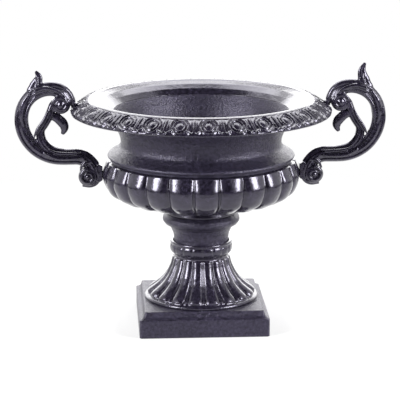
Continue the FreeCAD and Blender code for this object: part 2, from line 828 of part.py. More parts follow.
def make_handle_washer(name, turn):
    """The square washer between a handle bolt's head and the bowl's wall."""
    body = new_body(name)
    plate = new_sketch(body, "plate_outline", "YZ_Plane")
    square(plate, s.handle_washer_side, 0, s.handle_bolt_height)
    ring(plate, 0, s.handle_bolt_height, s.handle_bolt_radius + s.screw_clearance)
    plate.setExpression(
        ".AttachmentOffset.Base.z", (s.washer_seat - s.handle_washer_thickness).formula)
    raised(body, "plate", plate, s.handle_washer_thickness)
    body.Placement = Placement(Vector(), Rotation(Vector(0, 0, 1), turn))
    return body


def make_lug_screw(name, turn):
    """A small screw up through the rim's edge into a handle's lug."""
    body = new_body(name)
    head = new_sketch(body, "head_outline", "XY_Plane")
    hexagon(head, s.lug_screw_flat, s.lug_screw_circle)
    lift(head, s.rim_edge - s.lug_screw_head_height)
    raised(body, "head", head, s.lug_screw_head_height)
    shank = new_sketch(body, "shank_outline", "XY_Plane")
    ring(shank, s.lug_screw_circle, 0, s.lug_screw_radius)
    lift(shank, s.rim_edge)
    raised(body, "shank", shank, s.lug_rise + s.lug_screw_bite)
    body.Placement = Placement(Vector(), Rotation(Vector(0, 0, 1), turn))
    return body


def make_screws(name, head_under, length, circle):
    """A ring of hexagon-head screws, kept together as one group of separate solids."""
    body = new_body(name)
    body.AllowCompound = True
    heads = new_sketch(body, "head_outlines", "XY_Plane")
    shanks = new_sketch(body, "shank_outlines", "XY_Plane")
    for across, up in places_round(circle, SCREW_COUNT, FIRST_SCREW_TURN):
        hexagon(heads, s.screw_flat, across, up)
        ring(shanks, across, up, s.screw_radius)
    lift(heads, head_under - s.screw_head_height)
    raised(body, "heads", heads, s.screw_head_height)
    lift(shanks, head_under)
    raised(body, "shanks", shanks, length)
    return body


parts = [
    make_plinth(),
    make_socle(),
    make_stem(),
    make_lower_bowl(),
    make_neck(),
    make_rim(),
    make_handle("handle_right", s.horn_height_right, 0),
    make_handle("handle_left", s.horn_height_left, 180),
    make_tie_bolt(),
    make_tie_plate(
        "tie_washer", s.tie_washer_side, s.bowl_floor, s.tie_washer_thickness),
    make_tie_plate("tie_plate", s.tie_plate_side, s.plate_under, s.tie_plate_thickness),
    make_tie_nut(),
    make_handle_bolt("handle_bolt_right", 0),
    make_handle_bolt("handle_bolt_left", 180),
    make_handle_washer("handle_washer_right", 0),
    make_handle_washer("handle_washer_left", 180),
    make_lug_screw("lug_screw_right", 0),
    make_lug_screw("lug_screw_left", 180),
    make_screws(
        "neck_screws", s.neck_seat - s.bowl_flange_thickness,
        s.bowl_flange_thickness + s.screw_bite, s.neck_screw_circle),
    make_screws(
        "rim_screws", s.rim_seat - s.neck_flange_thickness,
        s.neck_flange_thickness + s.screw_bite, s.rim_screw_circle),
]
doc.recompute()

# ---------------------------------------------------------------- check and write
def bare_edge(edge):
    """A copy of an edge that belongs to no surface yet."""
    ends = [vertex.Point for vertex in edge.Vertexes]
    straight = len(ends) == 2 and abs(edge.Length - ends[0].distanceToPoint(ends[1])) < 1e-7
    if straight:
        return Part.Edge(Part.LineSegment(*ends))
    return Part.Edge(edge.Curve, edge.FirstParameter, edge.LastParameter)


def flattened(shape):
    """The same solids, with each flat face that a loft left as a free surface turned into a
    plane, so that it is stored and drawn as one."""
    solids = []
    for solid in shape.Solids:
        faces = []
        for face in solid.Faces:
            if isinstance(face.Surface, Part.Plane) or face.findPlane(1e-5) is None:
                faces.append(face)
                continue
            wires = []
            for wire in face.Wires:
                wires.append(Part.Wire([bare_edge(edge) for edge in wire.OrderedEdges]))
            faces.append(Part.Face(wires))
        shell = Part.makeShell(faces)
        shell.sewShape()
        rebuilt = Part.makeSolid(shell)
        if rebuilt.Volume < 0:
            rebuilt.reverse()
        same = abs(rebuilt.Volume - solid.Volume) < 1e-6 * solid.Volume
        solids.append(rebuilt if rebuilt.isValid() and same else solid)
    return solids[0] if len(solids) == 1 else Part.makeCompound(solids)


faults = []
for item in doc.Objects:
    if "Invalid" in item.State or "Error" in item.State:
        faults.append(f"{item.Label}: {item.State}")
for part in parts:
    if part.Shape.isNull() or not part.Shape.isValid():
        faults.append(f"{part.Label}: shape is not valid")
    elif not part.Shape.Solids:
        faults.append(f"{part.Label}: no solid")
if faults:
    raise RuntimeError("; ".join(faults))
os.makedirs("parts", exist_ok=True)
for part in parts:
    path = f"parts/{part.Label}.step"
    part.Shape.exportStep(path)
    shape = flattened(Part.read(path))
    shape.exportStep(path)
    print(part.Label, len(shape.Solids), round(shape.Volume), len(shape.Faces))
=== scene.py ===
# %% [markdown]
# # A cast-iron urn planter
# The real urn is a stack of separate iron castings: a square plinth, a fluted foot, a short
# stem, a bowl with gadroon lobes, a plain neck, a drooping egg-and-dart rim and two scroll
# handles. Steel screws and one long bolt hold them together. The measured model is loaded
# first. The outlines below follow its sizes to within a few millimetres, and this script
# gives each casting its carved detail and its paint, and lights it like a product picture
# on white.

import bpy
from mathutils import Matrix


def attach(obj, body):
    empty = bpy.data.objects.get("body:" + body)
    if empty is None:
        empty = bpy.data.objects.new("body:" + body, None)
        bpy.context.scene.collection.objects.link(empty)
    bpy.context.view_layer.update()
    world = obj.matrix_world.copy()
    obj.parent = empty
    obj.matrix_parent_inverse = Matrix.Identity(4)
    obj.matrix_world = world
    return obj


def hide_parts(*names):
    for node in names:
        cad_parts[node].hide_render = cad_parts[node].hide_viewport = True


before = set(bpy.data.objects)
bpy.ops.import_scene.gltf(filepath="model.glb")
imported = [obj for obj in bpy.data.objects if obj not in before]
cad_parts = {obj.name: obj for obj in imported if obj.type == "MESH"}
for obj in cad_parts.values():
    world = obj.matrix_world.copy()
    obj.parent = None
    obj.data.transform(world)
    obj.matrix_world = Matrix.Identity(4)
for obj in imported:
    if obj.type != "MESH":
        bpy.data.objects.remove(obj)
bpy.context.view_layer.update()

# %% [markdown]
# Everything below is written in millimetres, because that is how a founder's pattern is
# measured, and turned to metres when a mesh is made. numpy does the arithmetic on whole
# rows of points at once. Lamps and camera are placed in metres.

# %% Units and shared tools
import math

import bpy
import numpy as np

MM = 0.001


def link(item):
    bpy.context.scene.collection.objects.link(item)
    return item


def mesh_object(name, points, faces):
    """A mesh object from points in millimetres; its place is in its mesh."""
    mesh = bpy.data.meshes.new(name)
    mesh.from_pydata((np.asarray(points, dtype=float) * MM).tolist(), [], faces)
    mesh.validate()
    return link(bpy.data.objects.new(name, mesh))


def level(left, right, near, far, height):
    """The four corners of a level rectangle."""
    return [(left, near, height), (right, near, height), (right, far, height), (left, far, height)]


# %% [markdown]
# ## Colours and nodes
# Hex colours are read as sRGB and turned to the linear values that a shader wants. One small
# function adds a node to a tree with its settings and links, for shaders and for Geometry
# Nodes alike. Two more start a material and lay a noise whose size is given in millimetres.

# %% Colour and node helpers
def colour(code):
    """An sRGB hex colour as linear red, green, blue and 1."""
    parts = [int(code[index:index + 2], 16) / 255 for index in (1, 3, 5)]
    linear = [part / 12.92 if part <= 0.04045 else ((part + 0.055) / 1.055) ** 2.4
              for part in parts]
    return (*linear, 1.0)


def add_node(tree, kind, links=None, values=None, **settings):
    """Adds a node: settings are its properties, values its socket values, links its wires."""
    node = tree.nodes.new(kind)
    for word, setting in settings.items():
        setattr(node, word, setting)
    for socket, value in (values or {}).items():
        node.inputs[socket].default_value = value
    for socket, source in (links or {}).items():
        tree.links.new(source, node.inputs[socket])
    return node


def empty_material(name):
    """A material with an empty node tree, and that tree."""
    material = bpy.data.materials.new(name)
    material.use_nodes = True
    material.node_tree.nodes.clear()
    return material, material.node_tree


def noise(tree, place, size, detail, roughness=0.5):
    """The value of a noise whose waves are size millimetres long."""
    return add_node(
        tree, "ShaderNodeTexNoise", {"Vector": place},
        {"Scale": 1 / (size * MM), "Detail": detail, "Roughness": roughness}).outputs["Fac"]


# %% [markdown]
# ## Black paint on sand-cast iron
# The castings come out of a sand mould, so their skin keeps the grain of the sand, one to two
# millimetres across, and a finer grain inside it. A glossy graphite-black paint is brushed
# over it. The paint fills the finest pits, so the highlights stay sharp but break up along
# the grain. The grain is a bump from two noises on Object coordinates, scaled from those
# real sizes. The paint pools darker and glossier in the low places and is rubbed lighter on
# the high ones. Carved castings carry a thicker, smoother coat than plain ones.

# %% Painted iron
GRAIN = 1.5          # mm, the sand's own grain under the paint
FINE_GRAIN = 0.45    # mm, the finest grain that still shows
FINE_SHARE = 0.45    # of the fine grain in the bump
GRAIN_DEPTH = 1.0    # mm, the bump at full strength
BRUSH_PATCH = 26     # mm, patches where the brush left more or less paint


def painted_iron(name, paint, roughness, bump, coat):
    material, tree = empty_material(name)
    place = add_node(tree, "ShaderNodeTexCoord").outputs["Object"]
    coarse = noise(tree, place, 2 * GRAIN, 3.0, 0.6)
    fine = noise(tree, place, 2 * FINE_GRAIN, 2.0)
    brushed = noise(tree, place, BRUSH_PATCH, 3.0, 0.55)
    heights = add_node(
        tree, "ShaderNodeMath", {0: fine, 2: coarse}, {1: FINE_SHARE}, operation="MULTIPLY_ADD")
    relief = add_node(
        tree, "ShaderNodeBump", {"Height": heights.outputs[0]},
        {"Strength": bump, "Distance": GRAIN_DEPTH * MM})
    tone = add_node(
        tree, "ShaderNodeMapRange", {"Value": brushed},
        {"From Min": 0.3, "From Max": 0.7, "To Min": 0.75, "To Max": 1.25})
    worn = add_node(
        tree, "ShaderNodeMapRange", {"Value": coarse},
        {"From Min": 0.35, "From Max": 0.65, "To Min": 0.5, "To Max": 1.7})
    amount = add_node(
        tree, "ShaderNodeMath", {0: tone.outputs[0], 1: worn.outputs[0]}, operation="MULTIPLY")
    shade = add_node(
        tree, "ShaderNodeMix", {"Factor": amount.outputs[0]}, data_type="RGBA", clamp_factor=False)
    shade.inputs["A"].default_value = (0.0, 0.0, 0.0, 1.0)
    shade.inputs["B"].default_value = colour(paint)
    gloss = add_node(
        tree, "ShaderNodeMapRange", {"Value": coarse},
        {"From Min": 0.3, "From Max": 0.7, "To Min": roughness * 0.8, "To Max": roughness * 1.25})
    surface = add_node(
        tree, "ShaderNodeBsdfPrincipled",
        {"Base Color": shade.outputs["Result"], "Roughness": gloss.outputs[0],
         "Normal": relief.outputs[0], "Coat Normal": relief.outputs[0]},
        {"Metallic": 0.0, "Specular Tint": colour("#e3dcff"), "Coat Weight": coat,
         "Coat Roughness": 0.05})
    add_node(tree, "ShaderNodeOutputMaterial", {"Surface": surface.outputs[0]})
    return material


IRON = painted_iron("graphite_black_paint_on_sand_cast_iron", "#211e2a", 0.36, 0.8, 0.2)
SMOOTH_IRON = painted_iron("thick_black_paint_on_smooth_casting", "#1c1924", 0.2, 0.16, 0.7)
print("paints:", [material.name for material in (IRON, SMOOTH_IRON)])

# %% [markdown]
# The hidden screws, bolts and washers are plain zinc-plated steel, dull grey with a faint
# blotchy frost that plating leaves.

# %% Zinc-plated steel
FROST = 2.5          # mm, the plating's blotches


def zinc_plate():
    material, tree = empty_material("zinc_plated_steel")
    frost = noise(tree, add_node(tree, "ShaderNodeTexCoord").outputs["Object"], FROST, 4.0)
    gloss = add_node(
        tree, "ShaderNodeMapRange", {"Value": frost}, {"To Min": 0.28, "To Max": 0.5})
    tint = add_node(tree, "ShaderNodeMix", {"Factor": frost}, data_type="RGBA")
    tint.inputs["A"].default_value = colour("#9d9fa3")
    tint.inputs["B"].default_value = colour("#c3c4c6")
    surface = add_node(
        tree, "ShaderNodeBsdfPrincipled",
        {"Base Color": tint.outputs["Result"], "Roughness": gloss.outputs[0]},
        {"Metallic": 1.0})
    add_node(tree, "ShaderNodeOutputMaterial", {"Surface": surface.outputs[0]})
    return material


ZINC = zinc_plate()
print("steel:", ZINC.name)

# %% [markdown]
# ## Outlines with rounded corners
# A pattern-maker turns each round casting from a drawn half section. Here a half section is
# a list of corners, each with its rounding, and this helper walks it as straight runs and
# fillets and returns evenly spaced points, because even spacing lets carved relief be laid on
# them later.

# %% Rounded outline
FILLET_POINTS = 9
STRAIGHT = math.radians(89)    # half a corner's angle; opener corners are left as they are


def lengths(points):
    """How far along a line each of its points lies."""
    return np.r_[0, np.cumsum(np.linalg.norm(np.diff(points, axis=0), axis=1))]


def nearest(outline, place):
    """How far along an outline its point nearest to a place lies."""
    return lengths(outline)[np.argmin(np.linalg.norm(outline - place, axis=1))]


def rounded(corners, spacing):
    """Even points round closed (radius, height, rounding) corners, in millimetres."""
    corners = [np.array(corner, dtype=float) for corner in corners]
    walk = []
    for index, corner in enumerate(corners):
        here, rounding = corner[:2], corner[2]
        before = corners[index - 1][:2] - here
        after = corners[(index + 1) % len(corners)][:2] - here
        first, last = np.linalg.norm(before), np.linalg.norm(after)
        before, after = before / first, after / last
        half = math.acos(np.clip(before @ after, -1, 1)) / 2
        if rounding <= 0 or half > STRAIGHT:
            walk.append(here)
            continue
        reach = min(rounding / math.tan(half), 0.49 * first, 0.49 * last)
        start, stop = here + before * reach, here + after * reach
        for share in np.linspace(0, 1, FILLET_POINTS):
            walk.append((1 - share) ** 2 * start + 2 * share * (1 - share) * here
                        + share ** 2 * stop)
    walk = np.array(walk + walk[:1])
    steps = lengths(walk)
    count = max(8, round(steps[-1] / spacing))
    places = np.linspace(0, steps[-1], count + 1)
    even = np.stack([np.interp(places, steps, walk[:, axis]) for axis in (0, 1)], axis=1)
    return even[:-1]


def outward(outline):
    """Unit normals of a closed outline that runs anticlockwise in (radius, height)."""
    along = np.roll(outline, -1, axis=0) - np.roll(outline, 1, axis=0)
    along /= np.linalg.norm(along, axis=1)[:, None] + 1e-9
    return np.stack([along[:, 1], -along[:, 0]], axis=1)


# %% [markdown]
# ## One repeat, then the whole ring
# A carver cuts one lobe, one reed or one egg well and repeats it round the pattern. The same
# is done here. A sector mesh holds one repeat with its relief, and one Geometry Nodes tree
# sets copies round the axis, joins their edges, gives the surface the slight waviness of a
# sand casting and paints it. Its result is kept as a plain mesh.

# %% One repeat of a ring
def sector(name, outline, count, columns, relief):
    """One repeat of a round casting. relief(side, points) gives each outline point's rise in
    millimetres, where side runs from -1 to 1 across the repeat."""
    normals = outward(outline)
    rows = []
    for column in range(columns + 1):
        side = 2 * column / columns - 1
        turn = math.pi / count * side
        rise = relief(side, outline)[:, None]
        places = outline + normals * rise
        rows.append(np.stack([
            places[:, 0] * math.cos(turn), places[:, 0] * math.sin(turn), places[:, 1]], axis=1))
    total = len(outline)
    faces = []
    for column in range(columns):
        for index in range(total):
            following = (index + 1) % total
            faces.append((
                column * total + index, (column + 1) * total + index,
                (column + 1) * total + following, column * total + following))
    return mesh_object(name, np.concatenate(rows), faces)


# %% The tree that repeats a sector round the axis
SEAM = 0.02          # mm, edges closer than this are joined
WAVE_SIZE = 14       # mm, from one swelling of the cast skin to the next


def ring_tree():
    tree = bpy.data.node_groups.new("repeat_round_the_axis", "GeometryNodeTree")
    for word, kind in (("Sector", "NodeSocketGeometry"), ("Count", "NodeSocketInt"),
                       ("Waviness", "NodeSocketFloat"), ("Wave Size", "NodeSocketFloat"),
                       ("Seed", "NodeSocketFloat"), ("Paint", "NodeSocketMaterial")):
        tree.interface.new_socket(word, in_out="INPUT", socket_type=kind)
    tree.interface.new_socket("Casting", in_out="OUTPUT", socket_type="NodeSocketGeometry")
    given = add_node(tree, "NodeGroupInput").outputs
    points = add_node(tree, "GeometryNodePoints", {"Count": given["Count"]})
    number = add_node(tree, "GeometryNodeInputIndex")
    step = add_node(
        tree, "ShaderNodeMath", {1: given["Count"]}, {0: 2 * math.pi}, operation="DIVIDE")
    turn = add_node(
        tree, "ShaderNodeMath", {0: number.outputs[0], 1: step.outputs[0]}, operation="MULTIPLY")
    spin = add_node(tree, "ShaderNodeCombineXYZ", {"Z": turn.outputs[0]})
    copies = add_node(
        tree, "GeometryNodeInstanceOnPoints",
        {"Points": points.outputs[0], "Instance": given["Sector"], "Rotation": spin.outputs[0]})
    real = add_node(tree, "GeometryNodeRealizeInstances", {"Geometry": copies.outputs[0]})
    joined = add_node(
        tree, "GeometryNodeMergeByDistance", {"Geometry": real.outputs[0]},
        {"Distance": SEAM * MM})
    scale = add_node(
        tree, "ShaderNodeMath", {1: given["Wave Size"]}, {0: 1.0}, operation="DIVIDE")
    waves = add_node(
        tree, "ShaderNodeTexNoise", {"Scale": scale.outputs[0], "W": given["Seed"]},
        {"Detail": 2.0}, noise_dimensions="4D")
    centred = add_node(
        tree, "ShaderNodeVectorMath", {0: waves.outputs["Color"]}, {1: (0.5, 0.5, 0.5)},
        operation="SUBTRACT")
    drift = add_node(
        tree, "ShaderNodeVectorMath",
        {0: centred.outputs[0], "Scale": given["Waviness"]}, operation="SCALE")
    moved = add_node(
        tree, "GeometryNodeSetPosition",
        {"Geometry": joined.outputs[0], "Offset": drift.outputs[0]})
    soft = add_node(tree, "GeometryNodeSetShadeSmooth", {"Geometry": moved.outputs[0]})
    painted = add_node(
        tree, "GeometryNodeSetMaterial",
        {"Geometry": soft.outputs[0], "Material": given["Paint"]})
    add_node(tree, "NodeGroupOutput", {"Casting": painted.outputs[0]})
    return tree


RING = ring_tree()
print("tree inputs:", [socket.name for socket in RING.interface.items_tree])


# %% Run the tree and keep the mesh
def bake(item, tree, values):
    """Runs a Geometry Nodes tree on an object and keeps the result as a plain mesh."""
    modifier = item.modifiers.new("nodes", "NODES")
    modifier.node_group = tree
    for socket in tree.interface.items_tree:
        if socket.in_out == "INPUT" and socket.name in values:
            modifier[socket.identifier] = values[socket.name]
    ready = item.evaluated_get(bpy.context.evaluated_depsgraph_get())
    mesh = bpy.data.meshes.new_from_object(ready)
    item.modifiers.remove(modifier)
    item.data = mesh
    print(item.name, "faces:", len(mesh.polygons))
    return item


def ring_casting(name, outline, count, columns, relief, paint, waviness, seed):
    one = sector(name, outline, count, columns, relief)
    return bake(one, RING, {
        "Count": count, "Waviness": waviness * MM, "Wave Size": WAVE_SIZE * MM,
        "Seed": seed, "Paint": paint})


def plain(side, outline):
    """No relief."""
    return np.zeros(len(outline))


def within(values, low, high, soft):
    """1 inside a range, fading to 0 over soft millimetres outside it."""
    rise = np.clip((values - low) / soft + 1, 0, 1)
    fall = np.clip((high - values) / soft + 1, 0, 1)
    both = np.minimum(rise, fall)
    return both * both * (3 - 2 * both)


# %% [markdown]
# ## Plinth
# The plinth is a hollow square slab with a hollow moulding (a cove) round its top. It is not
# round, so its section is carried round a square with rounded corners instead. The same
# walk goes on over the deck, down the bolt hole and back inside, so the piece has real walls.

# %% Plinth mesh
PLINTH_OUTER = [
    (59.0, 0.0, 0.6), (66.0, 0.0, 0.8), (66.0, 18.6, 0.9), (64.3, 19.2, 0.5),
    (61.6, 21.2, 2.5), (60.5, 24.6, 0.5), (60.3, 26.1, 0.7), (40.0, 26.1, 0.0),
    (4.5, 26.1, 0.0), (4.5, 20.1, 0.0), (40.0, 20.1, 0.0), (54.3, 20.1, 1.5), (54.6, 0.0, 0.6)]
PLINTH_CORNER = 2.6      # mm, rounding of the upright edges
HOLE_REACH = 20          # mm, nearer to the axis the section is a round hole
CORNER_SIDES = 16


def square_ring(half):
    """Points round a square with rounded corners, or round a circle near the axis."""
    corner = half if half < HOLE_REACH else PLINTH_CORNER
    ring = []
    for quarter in range(4):
        base = math.radians(90 * quarter)
        flat = half - corner
        centre = np.array([flat * math.cos(base) - flat * math.sin(base),
                           flat * math.sin(base) + flat * math.cos(base)])
        for step in range(CORNER_SIDES + 1):
            turn = base + math.radians(90 * step / CORNER_SIDES)
            ring.append(centre + corner * np.array([math.cos(turn), math.sin(turn)]))
    return np.array(ring)


def make_plinth():
    outline = rounded(PLINTH_OUTER, 0.8)
    points, faces = [], []
    for half, height in outline:
        ring = square_ring(half)
        points += [(x, y, height) for x, y in ring]
    size, total = len(ring), len(outline)
    for index in range(total):
        after = (index + 1) % total
        for step in range(size):
            near = (step + 1) % size
            faces.append((index * size + step, index * size + near,
                          after * size + near, after * size + step))
    plinth = mesh_object("plinth_casting", points, faces)
    for polygon in plinth.data.polygons:
        polygon.use_smooth = True
    plinth.data.materials.append(IRON)
    return plinth


plinth = make_plinth()
print("plinth faces:", len(plinth.data.polygons))

# %% [markdown]
# ## Fluted socle
# Eighteen rounded reeds run down a trumpet-shaped foot and end in round tips above a thin
# ring. A thin fillet stands in each valley, and a small dart fills the space between two
# tips. At the top a collar with a row of low oblong panels forms the cup that holds the stem.

# %% Socle mesh
REEDS = 18
SOCLE = [
    (46.0, 26.1, 0.5), (58.6, 26.1, 0.5), (58.6, 28.4, 0.7), (57.2, 29.6, 0.6),
    (54.6, 30.2, 1.0), (52.4, 32.6, 3.0), (47.5, 36.2, 8.0), (42.6, 40.4, 12.0),
    (38.0, 45.4, 14.0), (33.6, 52.2, 18.0), (30.0, 60.5, 20.0), (27.6, 70.6, 2.0),
    (28.6, 72.6, 0.5), (31.0, 74.6, 1.2), (31.4, 79.0, 2.0), (31.0, 83.4, 1.0),
    (32.1, 84.6, 0.7), (31.8, 86.5, 0.8), (28.9, 86.5, 0.6), (28.8, 81.3, 0.0),
    (4.5, 81.3, 0.0), (4.5, 74.3, 0.0), (20.3, 74.3, 1.0), (22.0, 55.9, 4.0),
    (30.4, 37.9, 4.0), (45.8, 29.3, 2.0)]
REED_TIP, REED_TOP = (54.6, 30.2), (27.7, 70.2)
REED_SHARE = 0.80        # of half the pitch
REED_RISE = 0.42         # of half a reed's width
TIP_LENGTH = 1.7         # of half a reed's width
FILLET_RISE, FILLET_WIDTH, FILLET_START = 0.9, 0.75, 7    # mm, start above the reeds' tips
DART_RISE, DART_WIDTH, DART_LENGTH = 1.8, 3.4, 8.5        # mm
COLLAR_LOW, COLLAR_MIDDLE, COLLAR_HIGH = 75.4, 79.1, 82.8
COLLAR_INSIDE = 30       # mm, the collar's inside lies nearer the axis than this
PANEL_RISE, PANEL_HALF_HEIGHT = 0.8, 3.9
PANEL_SHARE = 0.94       # of half the pitch


def socle_relief(side, outline):
    radius, height = outline[:, 0], outline[:, 1]
    along = lengths(outline)
    tip, top = nearest(outline, REED_TIP), nearest(outline, REED_TOP)
    outside = (along >= tip - 1.5) & (along <= top)
    half_pitch = math.pi * radius / REEDS
    across = abs(side) * half_pitch
    half_reed = half_pitch * REED_SHARE
    short = np.clip(half_reed + tip + 0.4 - along, 0, None)
    share = (across / half_reed) ** 2 + (short / half_reed / TIP_LENGTH) ** 2
    reed = REED_RISE * half_reed * np.sqrt(np.clip(1 - share, 0, 1))
    from_valley = half_pitch - across
    fillet = FILLET_RISE * np.exp(-(from_valley / FILLET_WIDTH) ** 2) * (along > tip + FILLET_START)
    dart_width = np.clip((tip + DART_LENGTH - along) / DART_LENGTH, 0, 1) * DART_WIDTH
    dart = DART_RISE * np.clip(1 - from_valley / np.maximum(dart_width, 0.01), 0, 1)
    dart *= (along > tip + 0.5) & (along < tip + DART_LENGTH)
    rise = np.maximum(reed, np.maximum(fillet, dart)) * within(along, tip + 0.5, top - 2.0, 1.5)
    collar = within(height, COLLAR_LOW, COLLAR_HIGH, 0.6) * (radius > COLLAR_INSIDE)
    panel = 1 - abs(side / PANEL_SHARE) ** 4 - ((height - COLLAR_MIDDLE) / PANEL_HALF_HEIGHT) ** 4
    return rise * outside + collar * PANEL_RISE * np.sqrt(np.clip(panel, 0, 1))


socle = ring_casting(
    "socle_casting", rounded(SOCLE, 0.75), REEDS, 22, socle_relief, SMOOTH_IRON, 0.5, 2.0)

# %% [markdown]
# ## Stem
# A plain waisted drum with a thick disc on top. Nothing repeats on it, so its sector has no
# relief, and the same tree turns it into a full round.

# %% Stem mesh
STEM = [
    (20.0, 81.3, 0.5), (28.4, 81.3, 0.5), (28.0, 88.5, 8.0), (28.8, 94.5, 12.0),
    (32.0, 101.4, 0.7), (33.4, 102.2, 0.5), (33.6, 103.4, 0.3), (37.2, 104.4, 2.0),
    (39.7, 108.0, 2.2), (39.2, 111.6, 2.4), (36.0, 115.3, 1.0), (4.5, 115.3, 0.0),
    (4.5, 108.3, 0.0), (20.0, 108.3, 1.0)]
stem = ring_casting("stem_casting", rounded(STEM, 0.8), 24, 8, plain, IRON, 0.4, 3.0)

# %% [markdown]
# ## Gadrooned lower bowl
# Twenty-four plump lobes swell side by side under the ledge and run in beneath the bowl. A
# lobe is highest in the middle and meets its neighbours in a sharp valley, so its rise is a
# half ellipse across. Its upper end runs straight up under the neck's ledge. The bowl is
# round and plain inside, with a thick floor under the long bolt and four drain holes.

# %% Lower bowl mesh
LOBES = 24
BOWL = [
    (36.0, 115.3, 0.5), (35.0, 121.6, 2.0), (58.0, 129.0, 10.0), (80.0, 135.6, 10.0),
    (91.5, 142.4, 12.0), (95.6, 151.0, 14.0), (96.0, 158.5, 12.0), (93.6, 169.0, 1.2),
    (92.6, 171.3, 0.3), (78.0, 171.3, 0.5), (78.0, 165.3, 0.5), (90.2, 165.3, 1.0),
    (90.4, 150.5, 8.0), (81.4, 143.4, 10.0), (50.0, 129.8, 6.0), (4.5, 129.8, 0.0),
    (4.5, 115.3, 0.0)]
LOBE_FOOT, LOBE_TOP = (36.5, 122.0), (93.4, 169.6)
LOBE_RISE = 5.2                         # mm, on the belly
FULL_HALF_WIDTH = 12.0                  # mm, narrower lobes rise less
UPPER_LOSS = 2.0                        # mm, lost towards the ledge
UPPER_START, UPPER_LENGTH = 157.0, 14.0
LOBE_POWER = 2.1                        # 2 would be a half ellipse
DRAINS, DRAIN_RADIUS, DRAIN_CIRCLE, DRAIN_TURN = 4, 4.0, 44, 45
DRILL_LOW, DRILL_HIGH = 110, 150


def lobe_relief(side, outline):
    radius, height = outline[:, 0], outline[:, 1]
    along = lengths(outline)
    half = math.pi * radius / LOBES
    upper = np.clip((height - UPPER_START) / UPPER_LENGTH, 0, 1)
    rise = (LOBE_RISE - UPPER_LOSS * upper) * np.clip(half / FULL_HALF_WIDTH, 0, 1)
    rise = rise * np.sqrt(np.clip(1 - abs(side) ** LOBE_POWER, 0, 1))
    return rise * ((along > nearest(outline, LOBE_FOOT)) & (along <= nearest(outline, LOBE_TOP)))


bowl = ring_casting(
    "lower_bowl_casting", rounded(BOWL, 1.0), LOBES, 22, lobe_relief, SMOOTH_IRON, 0.5, 4.0)

# %% [markdown]
# The drain holes are drilled after casting, so here they are cut last, with plain drills and
# a Boolean modifier that is applied at once.

# %% Drain holes
DRILL_SIDES = 24


def drill(item, places, radius, low, high):
    """Cuts straight upright holes through an object at (x, y) places, in millimetres."""
    points, faces = [], []
    sides = DRILL_SIDES
    for x, y in places:
        start = len(points)
        for height in (low, high):
            for step in range(sides):
                turn = 2 * math.pi * step / sides
                points.append((x + radius * math.cos(turn), y + radius * math.sin(turn), height))
        faces.append(tuple(start + step for step in reversed(range(sides))))
        faces.append(tuple(start + sides + step for step in range(sides)))
        for step in range(sides):
            after = (step + 1) % sides
            faces.append((start + step, start + after,
                          start + sides + after, start + sides + step))
    drills = mesh_object("drills", points, faces)
    cut = item.modifiers.new("holes", "BOOLEAN")
    cut.operation, cut.object, cut.solver = "DIFFERENCE", drills, "EXACT"
    ready = item.evaluated_get(bpy.context.evaluated_depsgraph_get())
    mesh = bpy.data.meshes.new_from_object(ready)
    item.modifiers.remove(cut)
    item.data = mesh
    bpy.data.objects.remove(drills)


around_floor = [math.radians(DRAIN_TURN + 360 / DRAINS * step) for step in range(DRAINS)]
drill(bowl, [(DRAIN_CIRCLE * math.cos(turn), DRAIN_CIRCLE * math.sin(turn))
             for turn in around_floor], DRAIN_RADIUS, DRILL_LOW, DRILL_HIGH)
print("bowl after drilling:", len(bowl.data.polygons))

# %% [markdown]
# ## Neck
# A plain hollow curve between a ledge over the lobes and the flare under the rim. Its wall is
# one closed section, so the inside shows the same grain.

# %% Neck mesh
NECK = [
    (78.0, 171.3, 0.5), (93.0, 171.3, 0.4), (93.0, 174.0, 0.5), (95.6, 174.9, 0.9),
    (95.6, 176.9, 0.9), (94.6, 177.8, 0.8), (88.6, 181.2, 9.0), (82.2, 186.6, 14.0),
    (82.2, 194.0, 20.0), (86.0, 204.0, 30.0), (99.0, 217.3, 1.0), (114.5, 217.3, 0.5),
    (114.5, 222.3, 0.3), (89.0, 222.3, 0.0), (84.0, 213.0, 20.0), (78.5, 200.0, 20.0),
    (77.0, 187.0, 10.0), (77.4, 179.0, 4.0)]
neck = ring_casting("neck_casting", rounded(NECK, 1.0), 24, 10, plain, IRON, 0.6, 5.0)

# %% [markdown]
# ## Egg-and-dart rim
# The rim falls outward in a band carved with twenty-eight eggs. Each small egg lies in two
# raised oval rings, a dart with two side ribs stands between neighbouring ovals, and slanted
# leaves and buds fill the bottom corners. All of it is a height field on one repeat of the
# band. The flare inside the lip isn't carved, so it keeps the plain grain and thin paint.

# %% Rim mesh
EGGS = 28
RIM = [
    (89.0, 222.3, 0.0), (117.0, 222.3, 0.3), (117.0, 224.3, 0.8), (127.6, 221.0, 1.0),
    (129.8, 220.1, 0.8), (132.2, 220.1, 0.9), (132.9, 221.4, 0.6), (131.6, 223.0, 0.5),
    (126.0, 227.2, 9.0), (119.4, 231.4, 9.0), (114.2, 234.0, 0.5), (112.6, 234.9, 0.9),
    (110.2, 235.1, 1.2), (107.8, 234.0, 1.6), (100.8, 231.8, 5.0), (94.4, 227.6, 6.0)]
BAND_FOOT, BAND_TOP = (132.6, 221.8), (113.6, 234.3)
OVAL_MIDDLE, OVAL_HALF_WIDTH, OVAL_HALF_HEIGHT = 11.4, 8.9, 10.6
OVAL_SCALE = 9.4         # mm, turns a share of the oval into a distance
INNER_OVAL = 0.64        # of the outer oval
FLARE_EDGE = 108.6       # mm, radius inside which the flare starts


def dome(across, up, centre, size, lean):
    """A smooth oval swelling, 1 in the middle and 0 at its edge, leaning by an angle."""
    x, y = across - centre[0], up - centre[1]
    turned_x = x * math.cos(lean) + y * math.sin(lean)
    turned_y = y * math.cos(lean) - x * math.sin(lean)
    return np.sqrt(np.clip(1 - (turned_x / size[0]) ** 2 - (turned_y / size[1]) ** 2, 0, 1))


